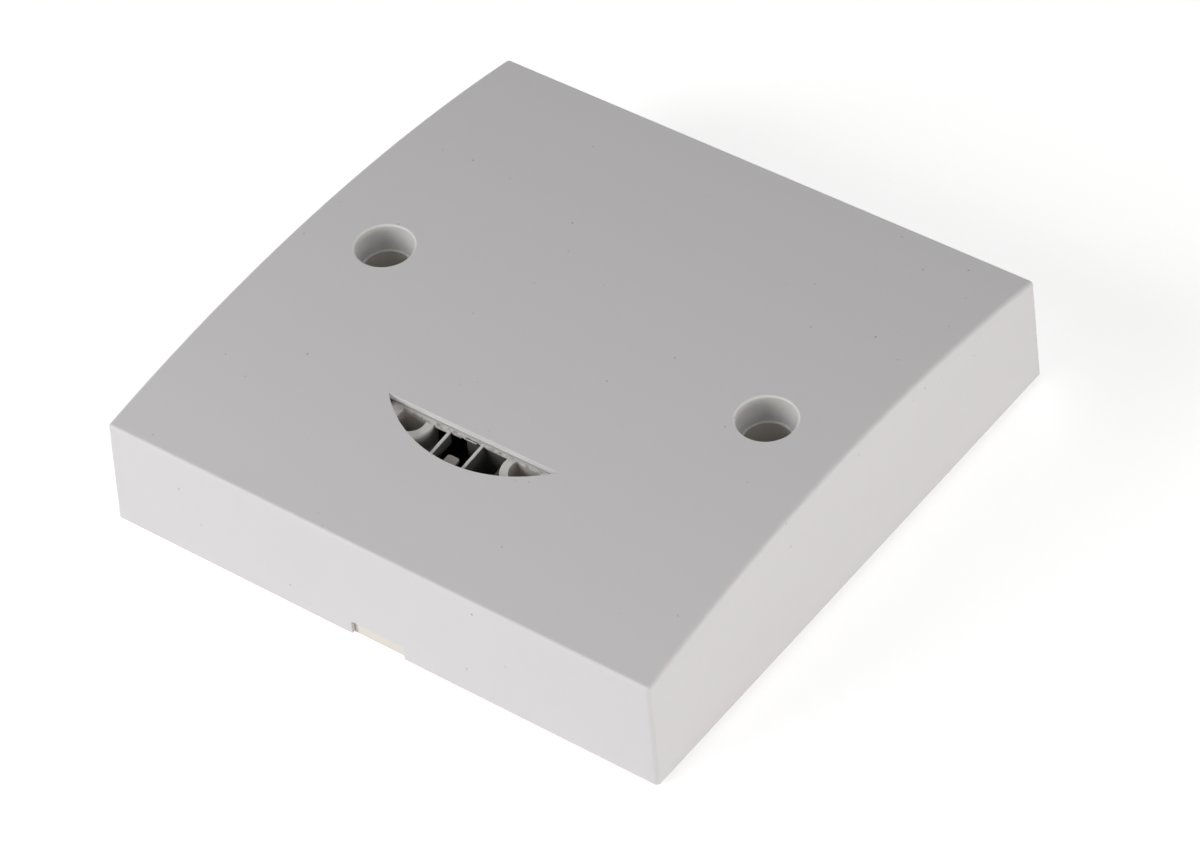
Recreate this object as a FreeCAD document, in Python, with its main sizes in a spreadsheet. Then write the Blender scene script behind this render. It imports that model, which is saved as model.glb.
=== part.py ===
import FreeCAD, Part
import math
import os
import re
import Sketcher

# Microwave motion detector for a single wall box, lying on its back.
# +X runs along the row of two fixing screws, +Y is up on the wall, +Z points out of the front face.
# The origin is the centre of the back plane. All lengths are in millimetres and angles in degrees.

SIZES = {
    # How far a cutting shape runs past what it cuts
    "overrun": 1.0,
    # Outer form of the front cover
    "plate_width": 85.8,
    "plate_length": 85.5,
    "skirt_gap": 0.7,
    "shoulder_height": 16.9,
    "crown_rise": 3.95,
    "draft_angle": 2.0,
    "cover_wall": 2.0,
    "edge_round": 0.6,
    # Lap joint between the skirt and the base
    "lip_wall": 0.55,
    "lip_rise": 2.05,
    "lip_clearance": 0.08,
    "notch_width": 8.3,
    "notch_shift": -0.15,
    # Tapered screw wells
    "fixing_pitch": 60.3,
    "well_mouth": 4.0,
    "well_foot": 3.5,
    "well_floor": 17.0,
    "well_wall": 1.5,
    "well_bevel": 0.25,
    "well_lap": 0.05,
    # Crescent window
    "window_chord": -20.75,
    "window_radius": 18.8,
    "window_centre": -7.5,
    "window_wall": 0.98,
    "rebate_margin": 1.5,
    # Snap hooks that hold the cover on the base
    "snap_spacing": 44.0,
    "snap_width": 7.0,
    "snap_reach": 0.9,
    "snap_foot": 3.7,
    "snap_rise": 1.5,
    "snap_flat": 0.3,
    "snap_clearance": 0.3,
    # Base tray
    "floor_wall": 2.0,
    "spigot_wall": 1.4,
    "spigot_top": 6.5,
    "spigot_clearance": 0.45,
    "base_chamfer": 0.4,
    "pillar_radius": 4.35,
    "pillar_bore": 3.2,
    "screw_seat": 3.0,
    "screw_hole": 2.0,
    "rib_wall": 1.2,
    "rib_reach": 8.0,
    "cable_width": 36.0,
    "cable_length": 16.0,
    "cable_centre": 25.0,
    "cable_round": 3.0,
    # Main board and its screws
    "board_under": 5.0,
    "board_thickness": 1.6,
    "board_clearance": 0.6,
    "board_upper": 13.4,
    "post_side": 5.2,
    "post_inset": 3.6,
    "pilot_radius": 1.15,
    "shank_radius": 1.1,
    "shank_length": 4.2,
    "shank_gap": 0.4,
    "cross_length": 3.2,
    "board_hole": 1.4,
    "head_radius": 2.3,
    "head_height": 1.6,
    "slot_width": 0.6,
    "slot_depth": 0.7,
    "pillar_clearance": 0.55,
    # Adjuster bezel behind the window
    "bezel_gap": 0.12,
    "bezel_wall": 0.4,
    "bezel_margin": 1.2,
    "bezel_rim": 0.35,
    "chord_rim": 0.35,
    "left_ledge": 0.3,
    "middle_ledge": 0.15,
    "tube_pitch": 17.8,
    "tube_centre": -22.0,
    "tube_radius": 3.2,
    "tube_bore": 2.1,
    "tube_back": 1.0,
    "bezel_shelf": 16.4,
    "bar_wall": 0.38,
    "bar_height": 0.15,
    "bar_left": -3.29,
    "bar_right": 1.71,
    "tab_centre": -0.58,
    "tab_width": 1.8,
    "tab_end": -24.01,
    "tab_drop": 0.45,
    "tab_round": 0.35,
    "catch_width": 1.65,
    "catch_centre": -0.12,
    "catch_gap": 0.2,
    "catch_bar": 0.12,
    "catch_reach": 0.22,
    "catch_skin": 0.15,
    # Dark shroud under the bezel that keeps the lamp's light off the sensor
    "shroud_wall": 0.45,
    "fin_foot": 16.9,
    "arm_height": 0.45,
    "shroud_gap": 0.05,
    "shroud_clearance": 0.3,
    "shroud_inner": -0.85,
    "shroud_front": -25.9,
    # Adjusters
    "trimmer_side": 6.8,
    "trimmer_height": 4.8,
    "trimmer_round": 0.3,
    "axis_line": -22.6,
    "rotor_radius": 1.3,
    "rotor_depth": 2.2,
    "rotor_clearance": 0.05,
    "rotor_slot": 0.45,
    "rotor_slot_length": 2.1,
    "rotor_slot_depth": 0.7,
    # Lamp and light sensor
    "lamp_x": -0.45,
    "lamp_y": -23.4,
    "lamp_radius": 1.5,
    "lamp_flange": 1.8,
    "lamp_stand": 3.0,
    "lamp_body": 3.8,
    "sensor_y": -23.3,
    "sensor_radius": 1.05,
    "sensor_flange": 1.25,
    "sensor_stand": 2.6,
    "sensor_body": 2.8,
    "flange_height": 0.8,
    "dome_share": 0.55,
    "dome_rise": 0.7,
    "lead_side": 0.45,
    "lead_pitch": 1.27,
    # Terminal block
    "pole_count": 4,
    "pole_pitch": 5.08,
    "terminal_margin": 0.8,
    "terminal_length": 9.5,
    "terminal_height": 10.5,
    "terminal_y": 8.2,
    "chamber_width": 3.9,
    "chamber_length": 7.6,
    "chamber_height": 5.0,
    "chamber_floor": 1.0,
    "driver_bore": 1.75,
    "clamp_width": 3.6,
    "clamp_length": 5.0,
    "clamp_height": 4.6,
    "clamp_wall": 0.6,
    "clamp_roof": 1.1,
    "clamp_inset": 1.3,
    "clamp_screw": 1.15,
    "clamp_thread_gap": 0.05,
    "clamp_thread_end": 1.0,
    "clamp_screw_rise": 2.8,
    # Microwave module on its pins
    "module_width": 28.0,
    "module_length": 18.0,
    "module_thickness": 1.0,
    "module_y": -7.5,
    "module_lift": 6.0,
    "patch_width": 5.6,
    "patch_length": 6.4,
    "patch_thickness": 0.1,
    "patch_pitch_x": 10.0,
    "patch_pitch_y": 9.0,
    "can_width": 14.0,
    "can_length": 10.0,
    "can_height": 2.2,
    "pin_side": 0.64,
    "pin_count": 5,
    "pin_pitch": 2.54,
    "pin_inset": 1.6,
    # Moulded parts on the main board: place, outline, height and edge bevel. A share is a place
    # between the screw line and the board's lower edge.
    "row_inset": 4.4,
    "relay_share": 0.329,
    "relay_width": 20.0,
    "relay_length": 12.5,
    "relay_height": 9.7,
    "relay_bevel": 0.5,
    "film_x": -24.5,
    "film_share": 0.277,
    "film_width": 18.0,
    "film_length": 7.0,
    "film_height": 10.5,
    "film_bevel": 0.4,
    "chip_lift": 0.1,
    "leg_pitch": 1.27,
    "leg_width": 0.42,
    "leg_height": 0.3,
    "leg_reach": 1.0,
    "chip_bevel": 0.2,
    "controller_x": 4.6,
    "controller_legs": 7,
    "controller_width": 8.7,
    "controller_length": 3.9,
    "controller_height": 1.6,
    "bridge_x": -3.8,
    "bridge_legs": 2,
    "bridge_width": 4.7,
    "bridge_length": 3.8,
    "bridge_height": 2.4,
    "regulator_x": 13.5,
    "regulator_legs": 4,
    "regulator_width": 4.9,
    "regulator_length": 3.9,
    "regulator_height": 1.6,
    # Turned parts on the main board
    "bulk_x": -22.0,
    "bulk_share": 0.527,
    "bulk_radius": 4.0,
    "bulk_length": 12.5,
    "can_bevel": 0.4,
    "output_x": 27.5,
    "output_share": 0.637,
    "output_radius": 3.15,
    "output_length": 7.0,
    "varistor_x": -11.5,
    "varistor_radius": 4.3,
    "varistor_thickness": 3.6,
    "varistor_bevel": 1.0,
    "fuse_x": -22.0,
    "fuse_radius": 1.8,
    "fuse_glass": 1.6,
    "fuse_cap": 2.6,
    "fuse_length": 10.5,
    "choke_x": 17.8,
    "choke_share": 0.637,
    "choke_radius": 3.5,
    "choke_waist": 2.7,
    "choke_flange": 1.2,
    "choke_height": 7.5,
    "resistor_width": 2.0,
    "resistor_length": 1.25,
    "resistor_height": 0.55,
    "resistor_pitch": 3.0,
    "resistor_count": 5,
}

DERIVED = {
    "crown_top": "shoulder_height + crown_rise",
    "shoulder_half": "plate_length / 2 - tan(draft_angle) * (shoulder_height - skirt_gap)",
    "crown_radius": "(shoulder_half ^ 2 + crown_rise ^ 2) / (2 * crown_rise)",
    "crown_axis": "crown_top - crown_radius",
    "lip_top": "skirt_gap + lip_rise",
    "fixing_x": "fixing_pitch / 2",
    "wall_foot": "spigot_clearance + cover_wall",
    "board_top": "board_under + board_thickness",
    "board_inset": "wall_foot + spigot_wall + board_clearance",
    "board_lower": "-plate_length / 2 + board_inset",
    "post_x": "board_right - post_inset",
    "post_low": "board_lower + post_inset",
    "post_high": "board_upper - post_inset",
    "bezel_depth": "window_wall + bezel_gap",
    "rim_line": "window_chord - chord_rim",
    "trimmer_top": "board_top + trimmer_height",
    "tube_x": "tube_pitch / 2",
    "bar_depth": "bezel_depth + bar_height",
    "shroud_right": "tube_x - trimmer_side / 2 - shroud_clearance",
    "sensor_x": "(bar_right + shroud_right) / 2 - shroud_wall / 4",
    "module_under": "board_top + module_lift",
    "module_top": "module_under + module_thickness",
    "terminal_width": "pole_count * pole_pitch + 2 * terminal_margin",
    "board_right": "plate_width / 2 - board_inset",
    "relay_x": "(module_width / 2 + board_right) / 2",
    "relay_y": "relay_share * board_lower",
    "film_y": "film_share * board_lower",
    "bulk_y": "bulk_share * board_lower",
    "output_y": "output_share * board_lower",
    "choke_y": "choke_share * board_lower",
    "row_y": "board_lower + row_inset",
    "controller_y": "row_y",
    "bridge_y": "row_y",
    "regulator_y": "row_y",
    "first_pole": "-(pole_count - 1) * pole_pitch / 2",
    "clamp_y": "terminal_y + terminal_length / 2 - clamp_inset - clamp_length / 2",
    "chamber_base": "board_top + chamber_floor",
}

# Two places closer than this are taken as one when edges are picked
NEAR = 0.01

doc = FreeCAD.newDocument("MotionDetector")
sheet = doc.addObject("Spreadsheet::Sheet", "Dims")
for row, (name, size) in enumerate(SIZES.items(), start=1):
    sheet.set("A%d" % row, name)
    sheet.set("B%d" % row, str(size))
    sheet.setAlias("B%d" % row, name)
doc.recompute()


def cells(formula):
    """Spell a formula in terms of the sheet's cells."""
    def swap(match):
        word = match.group(0)
        if word in DERIVED:
            return "(" + cells(DERIVED[word]) + ")"
        return "Dims." + word if word in SIZES else word
    return re.sub(r"[a-z][a-z_]+", swap, str(formula))


def value(formula):
    return float(sheet.evalExpression(cells(formula)))


def bind(item, **formulas):
    for path, formula in formulas.items():
        item.setExpression(path, cells(formula))


def sketch_on(body, name, plane, offset="0"):
    sketch = body.newObject("Sketcher::SketchObject", name)
    support = next(item for item in body.Origin.OriginFeatures if item.Role == plane)
    sketch.AttachmentSupport = (support, "")
    sketch.MapMode = "FlatFace"
    sketch.setExpression(".AttachmentOffset.Base.z", cells(offset))
    return sketch


def dimension(sketch, kind, formula, *points):
    index = sketch.addConstraint(Sketcher.Constraint(kind, *points, value(formula)))
    sketch.setExpression("Constraints[%d]" % index, cells(formula))


def rectangle(sketch, left, bottom, width, height):
    x0, y0 = value(left), value(bottom)
    x1, y1 = x0 + value(width), y0 + value(height)
    corners = [FreeCAD.Vector(x, y, 0) for x, y in ((x0, y0), (x1, y0), (x1, y1), (x0, y1))]
    first = sketch.GeometryCount
    for index in range(4):
        sketch.addGeometry(Part.LineSegment(corners[index], corners[(index + 1) % 4]))
    for index in range(4):
        sketch.addConstraint(Sketcher.Constraint("Coincident", first + index, 2, first + (index + 1) % 4, 1))
        sketch.addConstraint(Sketcher.Constraint("Vertical" if index % 2 else "Horizontal", first + index))
    dimension(sketch, "DistanceX", left, -1, 1, first, 1)
    dimension(sketch, "DistanceY", bottom, -1, 1, first, 1)
    dimension(sketch, "DistanceX", width, first, 1, first, 2)
    dimension(sketch, "DistanceY", height, first + 1, 1, first + 1, 2)


def plate_rectangle(sketch, inset):
    """A rectangle that follows the plate's outline, smaller by the inset on every side."""
    rectangle(sketch, "-plate_width / 2 + %s" % inset, "-plate_length / 2 + %s" % inset,
              "plate_width - 2 * %s" % inset, "plate_length - 2 * %s" % inset)


def circle(sketch, x, y, radius):
    centre = FreeCAD.Vector(value(x), value(y), 0)
    index = sketch.addGeometry(Part.Circle(centre, FreeCAD.Vector(0, 0, 1), value(radius)))
    dimension(sketch, "Radius", radius, index)
    dimension(sketch, "DistanceX", x, -1, 1, index, 3)
    dimension(sketch, "DistanceY", y, -1, 1, index, 3)


def outline(sketch, points, bows=None):
    """A closed outline through bound points. A bow gives an edge's radius, centre and sense of turn."""
    spots = [FreeCAD.Vector(value(x), value(y), 0) for x, y in points]
    count = len(points)
    edges = []
    for index in range(count):
        start, end = spots[index], spots[(index + 1) % count]
        if index not in (bows or {}):
            edges.append((sketch.addGeometry(Part.LineSegment(start, end)), 1, 2))
            continue
        radius, x, y, turn = bows[index]
        middle = FreeCAD.Vector(value(x), value(y), 0)
        span = (start, end) if turn > 0 else (end, start)
        angles = [math.atan2(point.y - middle.y, point.x - middle.x) for point in span]
        whole = Part.Circle(middle, FreeCAD.Vector(0, 0, 1), value(radius))
        bow = sketch.addGeometry(Part.ArcOfCircle(whole, *angles))
        dimension(sketch, "Radius", radius, bow)
        edges.append((bow, 1, 2) if turn > 0 else (bow, 2, 1))
    for index, (x, y) in enumerate(points):
        edge, start, end = edges[index]
        sketch.addConstraint(Sketcher.Constraint("Coincident", edge, end, *edges[(index + 1) % count][:2]))
        dimension(sketch, "DistanceX", x, -1, 1, edge, start)
        dimension(sketch, "DistanceY", y, -1, 1, edge, start)


def disc_below(sketch, x, y, radius, chord):
    """The part of a disc that lies below a level chord."""
    reach = "sqrt((%s) ^ 2 - (%s - %s) ^ 2)" % (radius, "(" + chord + ")", "(" + y + ")")
    outline(sketch, [("%s - %s" % (x, reach), chord), ("%s + %s" % (x, reach), chord)],
            {0: (radius, x, y, 1)})


def crown_level(y, depth):
    """Height of the surface that runs parallel to the crown at a depth below it."""
    return "crown_axis + sqrt((crown_radius - (%s)) ^ 2 - (%s) ^ 2)" % (depth, y)


def crown_sketch(body, name, depth):
    """A side view of all that lies above the surface at a depth below the crown."""
    sketch = sketch_on(body, name, "YZ_Plane")
    half, top = "(plate_length / 2 + overrun)", "2 * crown_top"
    level = crown_level(half, depth)
    outline(sketch, [(half, level), (half, top), ("-" + half, top), ("-" + half, level)],
            {3: ("crown_radius - (%s)" % depth, "0", "crown_axis", -1)})
    return sketch


def crown_band(body, name, place, low, high, upper, lower):
    """A side view of a layer between two depths below the crown, from one y to another."""
    sketch = sketch_on(body, name, "YZ_Plane", place)
    points = [(low, crown_level(low, lower)), (high, crown_level(high, lower)),
              (high, crown_level(high, upper)), (low, crown_level(low, upper))]
    outline(sketch, points, {0: ("crown_radius - (%s)" % lower, "0", "crown_axis", -1),
                             2: ("crown_radius - (%s)" % upper, "0", "crown_axis", 1)})
    return sketch


def crown_cut(body, name, depth):
    """Trim a body to the surface at a depth below the crown."""
    return feature(body, "Pocket", name, crown_sketch(body, name + "Line", depth),
                   Type="ThroughAll", SideType="Symmetric")


def crown_floor(body, name, depth):
    """Remove what a body has under the surface at a depth below the crown, over the catch's width."""
    sketch = sketch_on(body, name + "Line", "YZ_Plane", "catch_centre")
    low, high = "rim_line - catch_reach - overrun", "rim_line + bezel_rim + overrun"
    outline(sketch, [(low, "0"), (high, "0"),
                     (high, crown_level(high, depth)), (low, crown_level(low, depth))],
            {2: ("crown_radius - (%s)" % depth, "0", "crown_axis", 1)})
    return feature(body, "Pocket", name, sketch, Length="catch_width + 2 * catch_bar + overrun",
                   SideType="Symmetric")


def feature(body, kind, name, sketch, **formulas):
    """Add a sketched feature. A formula given for Length or an angle is bound to the sheet."""
    item = body.newObject("PartDesign::" + kind, name)
    item.Profile = sketch
    for option in ("Reversed", "SideType", "Type"):
        if option in formulas:
            setattr(item, option, formulas.pop(option))
    bind(item, **formulas)
    return item


def edges_where(item, test):
    return ["Edge%d" % number for number, edge in enumerate(item.Shape.Edges, start=1) if test(edge)]


def dress(body, kind, name, base, edges, size):
    """Round or bevel the named edges of the last feature."""
    item = body.newObject("PartDesign::" + kind, name)
    item.Base = (base, edges)
    bind(item, **{"Radius" if kind == "Fillet" else "Size": size})
    doc.recompute()
    return item


def window_core():
    """The crescent recess behind the window: its roof follows the crown at the window's wall thickness."""
    core = doc.addObject("PartDesign::Body", "WindowCore")
    recess = sketch_on(core, "RecessOutline", "XY_Plane", "shoulder_height / 2")
    disc_below(recess, "0", "window_centre", "window_radius + rebate_margin", "window_chord + rebate_margin")
    feature(core, "Pad", "RecessBlock", recess, Length="crown_top")
    crown_cut(core, "RecessRoof", "window_wall")
    return core


def front_cover():
    body = doc.addObject("PartDesign::Body", "front_cover")
    block = sketch_on(body, "SkirtOutline", "XY_Plane", "skirt_gap")
    plate_rectangle(block, "0")
    feature(body, "Pad", "DraftedBlock", block, Length="crown_top", TaperAngle="-draft_angle")
    top = crown_cut(body, "Crown", "0")
    doc.recompute()
    under = min(range(len(top.Shape.Faces)), key=lambda number: top.Shape.Faces[number].CenterOfMass.z)
    shell = body.newObject("PartDesign::Thickness", "Shell")
    shell.Base = (top, ["Face%d" % (under + 1)])
    shell.Reversed = True
    shell.Join = "Intersection"
    bind(shell, Value="cover_wall")
    doc.recompute()

    # Outer edges only: the four drafted corners, and the rim where the sides meet the crown
    side = value("plate_length / 2 - cover_wall")
    rim = value("shoulder_height - edge_round")
    edges = edges_where(shell, lambda edge: edge.BoundBox.ZMax > rim
                        and max(abs(edge.CenterOfMass.x), abs(edge.CenterOfMass.y)) > side)
    dress(body, "Fillet", "EdgeRound", shell, edges, "edge_round")

    # Tapered screw wells: a tube under each, then the drafted bore through tube and crown
    tubes = sketch_on(body, "WellTubes", "XY_Plane", "well_floor")
    bores = sketch_on(body, "WellBores", "XY_Plane", "well_floor")
    for side in "+-":
        circle(tubes, side + "fixing_x", "0", "well_mouth + well_wall")
        circle(bores, side + "fixing_x", "0", "well_foot")
    feature(body, "Pad", "WellTube", tubes, Length="crown_top - cover_wall / 2 - well_floor")
    feature(body, "Pocket", "WellBore", bores, Length="crown_top - well_floor + overrun", Reversed=True,
            TaperAngle="atan((well_mouth - well_foot) / (crown_top - well_floor))")
    for side in "+-":
        mouth = sketch_on(body, "MouthProfile", "XZ_Plane")
        mouth.setExpression(".AttachmentOffset.Base.x", cells(side + "fixing_x"))
        edge = "well_mouth + well_bevel"
        outline(mouth, [("0", "crown_top - well_bevel"), ("well_mouth - well_lap", "crown_top - well_bevel"),
                        (edge + " + overrun", "crown_top + well_lap + overrun"),
                        ("0", "crown_top + overrun")])
        groove = body.newObject("PartDesign::Groove", "WellMouth")
        groove.Profile = mouth
        groove.ReferenceAxis = (mouth, ["V_Axis"])
        groove.Angle = 360

    # Crescent window with a thinner wall round it, recessed from behind
    window = sketch_on(body, "WindowOutline", "XY_Plane", "shoulder_height / 2")
    disc_below(window, "0", "window_centre", "window_radius", "window_chord")
    feature(body, "Pocket", "Window", window, Length="crown_top", Reversed=True)
    recess = body.newObject("PartDesign::Boolean", "WindowRecess")
    recess.Group = [window_core()]
    recess.Type = "Cut"
    doc.recompute()

    # Lap joint: the skirt keeps an outer lip, and a release notch is cut through it
    lip = sketch_on(body, "LipOutline", "XY_Plane", "skirt_gap")
    plate_rectangle(lip, "lip_wall")
    feature(body, "Pocket", "LipRebate", lip, Length="lip_rise", Reversed=True)
    notch = sketch_on(body, "NotchOutline", "XZ_Plane", "plate_length / 2 - cover_wall")
    rectangle(notch, "notch_shift - notch_width / 2", "0", "notch_width", "lip_top")
    feature(body, "Pocket", "ReleaseNotch", notch, Length="2 * cover_wall", Reversed=True)

    # Snap wedges inside the two long walls
    for side in "+-":
        for end in "+-":
            place = "%s(snap_spacing / 2)" % end
            wedge = snap_wedge(body, side, place)
            feature(body, "Pad", "SnapWedge", wedge, Length="snap_width", SideType="Symmetric")
    doc.recompute()
    return body


def snap_wedge(body, side, place):
    """A wedge on an inner wall: a level catch above and a lead-in slope below, seen from the side."""
    sketch = sketch_on(body, "SnapProfile", "YZ_Plane", place)
    root = side + "(plate_length / 2 - cover_wall / 2)"
    nose = side + "(plate_length / 2 - cover_wall - snap_reach)"
    top = "snap_foot + snap_rise"
    outline(sketch, [(root, "snap_foot"), (nose, top + " - snap_flat"), (nose, top), (root, top)])
    return sketch


def base_plate():
    body = doc.addObject("PartDesign::Body", "base_plate")
    flange = sketch_on(body, "FlangeOutline", "XY_Plane")
    plate_rectangle(flange, "(lip_wall + lip_clearance)")
    foot = feature(body, "Pad", "Flange", flange, Length="lip_top")
    doc.recompute()
    rear = edges_where(foot, lambda edge: edge.BoundBox.ZMax < value("base_chamfer"))
    dress(body, "Chamfer", "RearEdge", foot, rear, "base_chamfer")
    spigot = sketch_on(body, "SpigotOutline", "XY_Plane")
    plate_rectangle(spigot, "wall_foot")
    feature(body, "Pad", "Spigot", spigot, Length="spigot_top")
    tray = sketch_on(body, "TrayOutline", "XY_Plane", "floor_wall")
    plate_rectangle(tray, "(wall_foot + spigot_wall)")
    feature(body, "Pocket", "Tray", tray, Length="spigot_top", Reversed=True)

    # Pillars for the fixing screws, each stiffened by a cross of ribs that the main board rests on
    pillars = sketch_on(body, "PillarOutline", "XY_Plane", "floor_wall")
    bores = sketch_on(body, "PillarBore", "XY_Plane", "screw_seat")
    holes = sketch_on(body, "FixingHoles", "XY_Plane")
    for side in "+-":
        circle(pillars, side + "fixing_x", "0", "pillar_radius")
        circle(bores, side + "fixing_x", "0", "pillar_bore")
        circle(holes, side + "fixing_x", "0", "screw_hole")
        for across in (True, False):
            rib = sketch_on(body, "RibOutline", "XY_Plane", "floor_wall")
            if across:
                near, far = "fixing_x - rib_reach", "plate_width / 2 - wall_foot - spigot_wall / 2"
                left = "%s(%s)" % (side, far if side == "-" else near)
                rectangle(rib, left, "-rib_wall / 2", "%s - (%s)" % (far, near), "rib_wall")
            else:
                rectangle(rib, "%s(fixing_x) - rib_wall / 2" % side, "-rib_reach",
                          "rib_wall", "2 * rib_reach")
            feature(body, "Pad", "Rib", rib, Length="board_under - floor_wall")
    feature(body, "Pad", "Pillar", pillars, Length="well_floor - floor_wall")
    feature(body, "Pocket", "PillarBoreCut", bores, Length="well_floor", Reversed=True)
    feature(body, "Pocket", "FixingHole", holes, Length="2 * screw_seat", Reversed=True)

    # Posts with pilot holes for the main board
    posts = sketch_on(body, "PostOutline", "XY_Plane", "floor_wall")
    pilots = sketch_on(body, "PilotOutline", "XY_Plane", "board_under")
    for x, y in post_places():
        rectangle(posts, x + " - post_side / 2", y + " - post_side / 2", "post_side", "post_side")
        circle(pilots, x, y, "pilot_radius")
    feature(body, "Pad", "Post", posts, Length="board_under - floor_wall")
    feature(body, "Pocket", "Pilot", pilots, Length="shank_length")

    # Cable window through the floor, and windows in the spigot for the cover's hooks
    cable = sketch_on(body, "CableWindow", "XY_Plane")
    rectangle(cable, "-cable_width / 2", "cable_centre - cable_length / 2", "cable_width", "cable_length")
    cut = feature(body, "Pocket", "CableCut", cable, Length="2 * floor_wall", Reversed=True)
    doc.recompute()
    corners = edges_where(cut, lambda edge: edge.BoundBox.ZLength > value("floor_wall") / 2
                          and abs(abs(edge.CenterOfMass.x) - value("cable_width / 2")) < NEAR
                          and value("cable_centre - cable_length") < edge.CenterOfMass.y)
    dress(body, "Fillet", "CableRound", cut, corners, "cable_round")
    for end in "+-":
        window = sketch_on(body, "SnapWindow", "XZ_Plane")
        rectangle(window, "%s(snap_spacing / 2) - snap_width / 2 - snap_clearance" % end,
                  "snap_foot - snap_clearance", "snap_width + 2 * snap_clearance",
                  "snap_rise + 2 * snap_clearance")
        feature(body, "Pocket", "SnapCut", window, Type="ThroughAll", SideType="Symmetric")
    return body


def post_places():
    return [(side + "post_x", level) for side in "+-" for level in ("post_low", "post_high")]


def main_board():
    body = doc.addObject("PartDesign::Body", "main_board")
    sheet_outline = sketch_on(body, "BoardOutline", "XY_Plane", "board_under")
    rectangle(sheet_outline, "-plate_width / 2 + board_inset", "board_lower",
              "plate_width - 2 * board_inset", "board_upper - board_lower")
    feature(body, "Pad", "Board", sheet_outline, Length="board_thickness")
    places = [("PillarHole", side + "fixing_x", "0", "pillar_radius + pillar_clearance") for side in "+-"]
    places += [("ScrewHole", x, y, "board_hole") for x, y in post_places()]
    for name, x, y, radius in places:
        hole = sketch_on(body, name + "Outline", "XY_Plane")
        circle(hole, x, y, radius)
        feature(body, "Pocket", name, hole, Length="2 * board_top", Reversed=True)
    return body


def box(name, left, front, under, width, length, height):
    item = doc.addObject("Part::Box", name)
    bind(item, Length=width, Width=length, Height=height)
    bind(item, **{"Placement.Base.x": left, "Placement.Base.y": front, "Placement.Base.z": under})
    return item


def cylinder(name, x, y, under, radius, height):
    item = doc.addObject("Part::Cylinder", name)
    bind(item, Radius=radius, Height=height)
    bind(item, **{"Placement.Base.x": x, "Placement.Base.y": y, "Placement.Base.z": under})
    return item


def combine(kind, name, *parts):
    """Join, cut or group objects: the first one is the base of a cut."""
    item = doc.addObject("Part::" + kind, name)
    if kind == "Cut":
        item.Base, item.Tool = parts
    elif kind == "Compound":
        item.Links = list(parts)
    else:
        item.Shapes = list(parts)
    return item


def slotted(name, blank, x, y, top, reach, cross=False):
    """Cut a driver slot, single or crossed, into the upper end of a screw."""
    wide = box(name + "Slot", "%s - %s / 2" % (x, reach), "%s - slot_width / 2" % y, top + " - slot_depth",
               reach, "slot_width", "2 * slot_depth")
    if not cross:
        return combine("Cut", name, blank, wide)
    deep = box(name + "CrossSlot", "%s - slot_width / 2" % x, "%s - %s / 2" % (y, reach),
               top + " - slot_depth", "slot_width", reach, "2 * slot_depth")
    return combine("Cut", name, blank, combine("MultiFuse", name + "Cross", wide, deep))


def board_screws():
    screws = []
    for number, (x, y) in enumerate(post_places(), start=1):
        name = "BoardScrew%d" % number
        reach = "shank_length + board_thickness - shank_gap"
        stem = cylinder(name + "Shank", x, y, "board_top - (%s)" % reach, "shank_radius", reach)
        head = cylinder(name + "Head", x, y, "board_top", "head_radius", "head_height")
        blank = combine("MultiFuse", name + "Blank", stem, head)
        screws.append(slotted(name, blank, x, y, "board_top + head_height", "cross_length", cross=True))
    return combine("Compound", "board_screws", *screws)


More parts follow.
